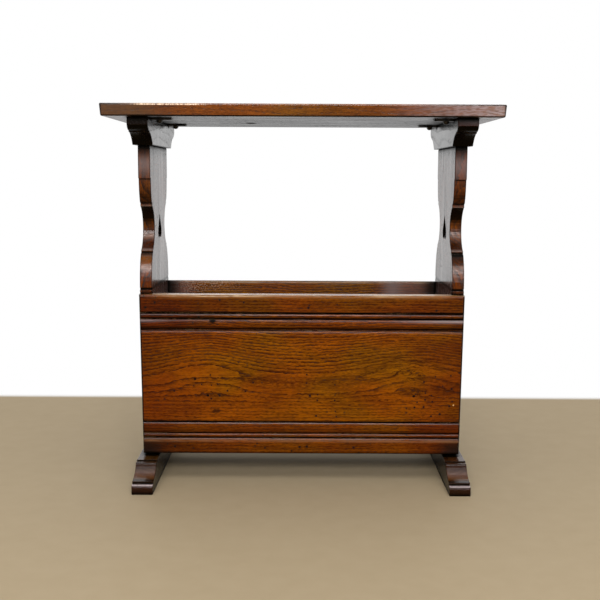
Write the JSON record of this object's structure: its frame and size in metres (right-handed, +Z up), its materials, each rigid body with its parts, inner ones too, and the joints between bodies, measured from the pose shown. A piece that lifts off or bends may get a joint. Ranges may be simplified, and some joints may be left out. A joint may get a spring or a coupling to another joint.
{
  "type": "magazine rack side table",
  "caption": "Small oak side table on pierced, shaped end boards in sledge feet, with an open magazine trough between moulded panels below.",
  "frame": {"origin": "on the floor, at the middle of the table's length and depth", "axes": "+X along the table to its right end as seen from the front, +Y from the front to the back, +Z up"},
  "size_m": [0.5996, 0.3346, 0.597],
  "materials": {
    "top_oak": "dark stained oak under a glossy varnish",
    "bearer_oak": "very dark stained oak under a glossy varnish",
    "end_board_oak": "dark stained oak under a glossy varnish",
    "foot_oak": "dark stained oak under a glossy varnish",
    "panel_oak": "golden brown stained oak under a glossy varnish",
    "floor_oak": "stained oak, satin",
    "plate_steel": "blackened steel",
    "screw_steel": "blackened steel",
    "dowel_beech": "plain beech"
  },
  "bodies": {
    "root": {"table_top": "top_oak", "bearer_left": "bearer_oak", "bearer_right": "bearer_oak", "end_board_left": "end_board_oak", "end_board_right": "end_board_oak", "foot_left": "foot_oak", "foot_right": "foot_oak", "front_panel": "panel_oak", "back_panel": "panel_oak", "rack_floor": "floor_oak", "top_plate_front_left": "plate_steel", "top_plate_front_right": "plate_steel", "top_plate_back_left": "plate_steel", "top_plate_back_right": "plate_steel", "top_screw_front_left": "screw_steel", "top_screw_front_right": "screw_steel", "top_screw_back_left": "screw_steel", "top_screw_back_right": "screw_steel", "bearer_screw_front_left": "screw_steel", "bearer_screw_front_right": "screw_steel", "bearer_screw_back_left": "screw_steel", "bearer_screw_back_right": "screw_steel", "panel_dowel_front_left_1": "dowel_beech", "panel_dowel_front_left_2": "dowel_beech", "panel_dowel_front_left_3": "dowel_beech", "panel_dowel_front_right_1": "dowel_beech", "panel_dowel_front_right_2": "dowel_beech", "panel_dowel_front_right_3": "dowel_beech", "panel_dowel_back_left_1": "dowel_beech", "panel_dowel_back_left_2": "dowel_beech", "panel_dowel_back_left_3": "dowel_beech", "panel_dowel_back_right_1": "dowel_beech", "panel_dowel_back_right_2": "dowel_beech", "panel_dowel_back_right_3": "dowel_beech"}
  },
  "joints": []
}
